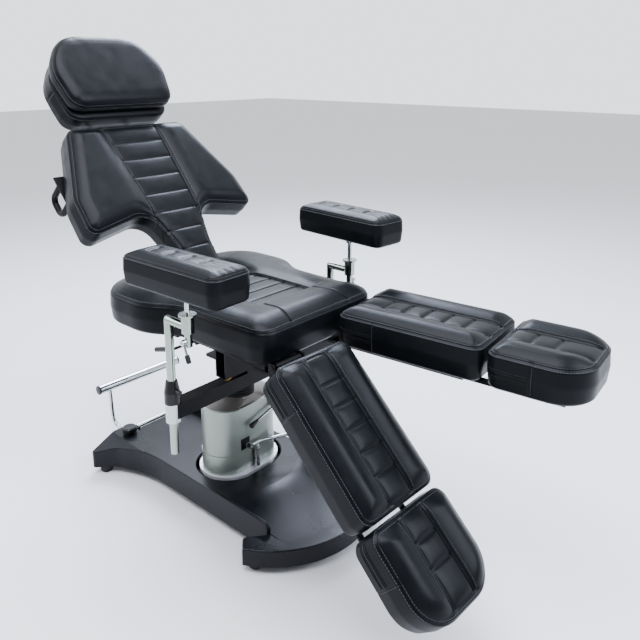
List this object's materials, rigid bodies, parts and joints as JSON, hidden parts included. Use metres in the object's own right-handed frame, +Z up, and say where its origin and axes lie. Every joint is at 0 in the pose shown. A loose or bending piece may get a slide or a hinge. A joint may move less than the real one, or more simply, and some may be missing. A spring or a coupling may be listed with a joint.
{
  "type": "tattoo chair",
  "caption": "Hydraulic tattoo chair with padded seat, tilting back and headrest, split leg rests, swivelling armrests and a moulded base.",
  "frame": {"origin": "on the floor, on the axis of the lifting column", "axes": "+X towards the feet, +Y towards the client's left, +Z up"},
  "size_m": [1.9387, 0.8608, 1.5325],
  "materials": {
    "black_leather": "satin",
    "black_moulding": "satin",
    "black_plastic": "matte",
    "black_paint": "satin",
    "chrome": "polished",
    "pump_silver": "satin",
    "pump_grey": "satin",
    "bright_steel": "satin",
    "rubber": "matte"
  },
  "bodies": {
    "base": {"base_cover": "black_moulding", "base_frame": "black_paint", "rubber_pads": "rubber", "pump_flange": "pump_silver", "pump_casting": "pump_silver", "pump_cover": "pump_silver", "pump_cone": "pump_grey", "cover_screws": "bright_steel", "bellows": "rubber", "pump_cylinder": "bright_steel", "foot_bar_brackets": "black_paint", "plunger_guide": "bright_steel"},
    "foot_bar_body": {"foot_bar": "chrome"},
    "pedal": {"pedal_lever": "chrome", "pedal_tread": "rubber"},
    "plunger": {"pump_plunger": "bright_steel"},
    "brake": {"brake_lever": "chrome", "brake_knob": "black_plastic"},
    "knob": {"rear_knob": "black_plastic"},
    "column": {"column_ram": "black_paint"},
    "chassis": {"swivel_hub": "black_paint", "arm_beam": "black_paint", "arm_sockets": "chrome", "seat_frame": "black_paint", "seat_cushion": "black_leather", "leg_pivot_pins": "bright_steel", "back_hinge_pin": "bright_steel"},
    "release": {"release_lever": "black_paint", "release_grip": "black_plastic"},
    "back": {"back_frame": "black_paint", "back_cushion": "black_leather", "back_handle": "black_paint"},
    "head_slide": {"headrest_rods": "chrome"},
    "head": {"headrest_bracket": "black_paint", "headrest_base_pad": "black_leather", "headrest_pillow": "black_leather"},
    "left_yoke": {"left_leg_yoke": "black_paint"},
    "left_leg": {"left_leg_frame": "black_paint", "left_calf_cushion": "black_leather"},
    "left_foot": {"left_foot_frame": "black_paint", "left_foot_cushion": "black_leather"},
    "right_yoke": {"right_leg_yoke": "black_paint"},
    "right_leg": {"right_leg_frame": "black_paint", "right_calf_cushion": "black_leather"},
    "right_foot": {"right_foot_frame": "black_paint", "right_foot_cushion": "black_leather"},
    "left_collar": {"left_arm_collar": "black_plastic"},
    "left_collar_knob_body": {"left_collar_knob": "black_plastic"},
    "left_post": {"left_arm_post": "chrome"},
    "left_cam": {"left_cam_lever": "chrome"},
    "left_stem": {"left_arm_stem": "chrome"},
    "left_pad": {"left_pad_plate": "black_paint", "left_arm_pad": "black_leather"},
    "right_collar": {"right_arm_collar": "black_plastic"},
    "right_collar_knob_body": {"right_collar_knob": "black_plastic"},
    "right_post": {"right_arm_post": "chrome"},
    "right_cam": {"right_cam_lever": "chrome"},
    "right_stem": {"right_arm_stem": "chrome"},
    "right_pad": {"right_pad_plate": "black_paint", "right_arm_pad": "black_leather"}
  },
  "joints": [
    {"name": "foot_bar_swing", "type": "hinge", "parent": "base", "child": "foot_bar_body", "pos_m": [-0.492, 0, 0.072], "axis": [0, 1, 0], "range_deg": [-25, 0], "stiffness_Nm_per_rad": 10, "springref_deg": 17.19},
    {"name": "pedal_press", "type": "hinge", "parent": "base", "child": "pedal", "pos_m": [0.0913, -0.03, 0.196], "axis": [1, 0, 0], "range_deg": [-12, 0]},
    {"name": "plunger_stroke", "type": "slide", "parent": "base", "child": "plunger", "axis": [0, 0, 1], "range_m": [-0.007, 0]},
    {"name": "brake_turn", "type": "hinge", "parent": "base", "child": "brake", "pos_m": [0.094, 0.088, 0.302], "axis": [1, 0, 0], "range_deg": [-20, 30]},
    {"name": "rear_knob_turn", "type": "hinge", "parent": "base", "child": "knob", "pos_m": [-0.415, -0.165, 0.11], "axis": [0, 0, 1], "continuous": true},
    {"name": "column_lift", "type": "slide", "parent": "base", "child": "column", "axis": [0, 0, 1], "range_m": [0, 0.18], "deforming": ["bellows"]},
    {"name": "seat_swivel", "type": "hinge", "parent": "column", "child": "chassis", "pos_m": [0, 0, 0.45], "axis": [0, 0, 1], "continuous": true},
    {"name": "release_lift", "type": "hinge", "parent": "chassis", "child": "release", "pos_m": [0.066, -0.21, 0.62], "axis": [0, 1, 0], "range_deg": [0, 12]},
    {"name": "back_tilt", "type": "hinge", "parent": "chassis", "child": "back", "pos_m": [-0.135, 0, 0.625], "axis": [0, 1, 0], "range_deg": [-46, 18]},
    {"name": "headrest_slide", "type": "slide", "parent": "back", "child": "head_slide", "axis": [-0.6947, 0, 0.7193], "range_m": [0, 0.09]},
    {"name": "headrest_tilt", "type": "hinge", "parent": "head_slide", "child": "head", "pos_m": [-0.66904, 0, 1.18666], "axis": [0, 1, 0], "range_deg": [-30, 18]},
    {"name": "left_leg_splay", "type": "hinge", "parent": "chassis", "child": "left_yoke", "pos_m": [0.33, 0.146, 0.626], "axis": [0, 0, 1], "range_deg": [-5.3, 9.7]},
    {"name": "left_leg_lift", "type": "hinge", "parent": "left_yoke", "child": "left_leg", "pos_m": [0.37979, 0.15062, 0.626], "axis": [-0.0924, 0.9957, 0], "range_deg": [0, 55]},
    {"name": "left_foot_slide", "type": "slide", "parent": "left_leg", "child": "left_foot", "axis": [0.9957, 0.0924, 0], "range_m": [-0.009, 0.14]},
    {"name": "right_leg_splay", "type": "hinge", "parent": "chassis", "child": "right_yoke", "pos_m": [0.33, -0.146, 0.626], "axis": [0, 0, 1], "range_deg": [-12.5, 2.5]},
    {"name": "right_leg_lift", "type": "hinge", "parent": "right_yoke", "child": "right_leg", "pos_m": [0.37995, -0.14818, 0.626], "axis": [0.0436, 0.999, 0], "range_deg": [-43.4, 11.6]},
    {"name": "right_foot_slide", "type": "slide", "parent": "right_leg", "child": "right_foot", "axis": [0.7259, -0.0317, -0.6871], "range_m": [-0.004, 0.14]},
    {"name": "left_arm_swivel", "type": "hinge", "parent": "chassis", "child": "left_collar", "pos_m": [0.117, 0.349, 0.491], "axis": [0, 0, 1], "range_deg": [-40, 180]},
    {"name": "left_collar_knob_turn", "type": "hinge", "parent": "left_collar", "child": "left_collar_knob_body", "pos_m": [0.142, 0.349, 0.532], "axis": [1, 0, 0], "continuous": true},
    {"name": "left_post_slide", "type": "slide", "parent": "left_collar", "child": "left_post", "axis": [0, 0, 1], "range_m": [-0.035, 0.07]},
    {"name": "left_cam_turn", "type": "hinge", "parent": "left_post", "child": "left_cam", "pos_m": [0.204, 0.366, 0.704], "axis": [0, 1, 0], "range_deg": [-90, 0]},
    {"name": "left_stem_slide", "type": "slide", "parent": "left_post", "child": "left_stem", "axis": [0, 0, 1], "range_m": [-0.058, 0.03]},
    {"name": "left_pad_turn", "type": "hinge", "parent": "left_stem", "child": "left_pad", "pos_m": [0.204, 0.349, 0.835], "axis": [0, 0, 1], "continuous": true},
    {"name": "right_arm_swivel", "type": "hinge", "parent": "chassis", "child": "right_collar", "pos_m": [0.117, -0.349, 0.491], "axis": [0, 0, 1], "range_deg": [-180, 40]},
    {"name": "right_collar_knob_turn", "type": "hinge", "parent": "right_collar", "child": "right_collar_knob_body", "pos_m": [0.142, -0.349, 0.532], "axis": [1, 0, 0], "continuous": true},
    {"name": "right_post_slide", "type": "slide", "parent": "right_collar", "child": "right_post", "axis": [0, 0, 1], "range_m": [-0.035, 0.07]},
    {"name": "right_cam_turn", "type": "hinge", "parent": "right_post", "child": "right_cam", "pos_m": [0.204, -0.366, 0.704], "axis": [0, 1, 0], "range_deg": [-90, 0]},
    {"name": "right_stem_slide", "type": "slide", "parent": "right_post", "child": "right_stem", "axis": [0, 0, 1], "range_m": [-0.038, 0.05]},
    {"name": "right_pad_turn", "type": "hinge", "parent": "right_stem", "child": "right_pad", "pos_m": [0.204, -0.349, 0.835], "axis": [0, 0, 1], "continuous": true}
  ],
  "couplings": [
    {"joint": "pedal_press", "follows": "foot_bar_swing", "ratio": 0.48},
    {"joint": "plunger_stroke", "follows": "foot_bar_swing", "m_per_rad": 0.016}
  ]
}
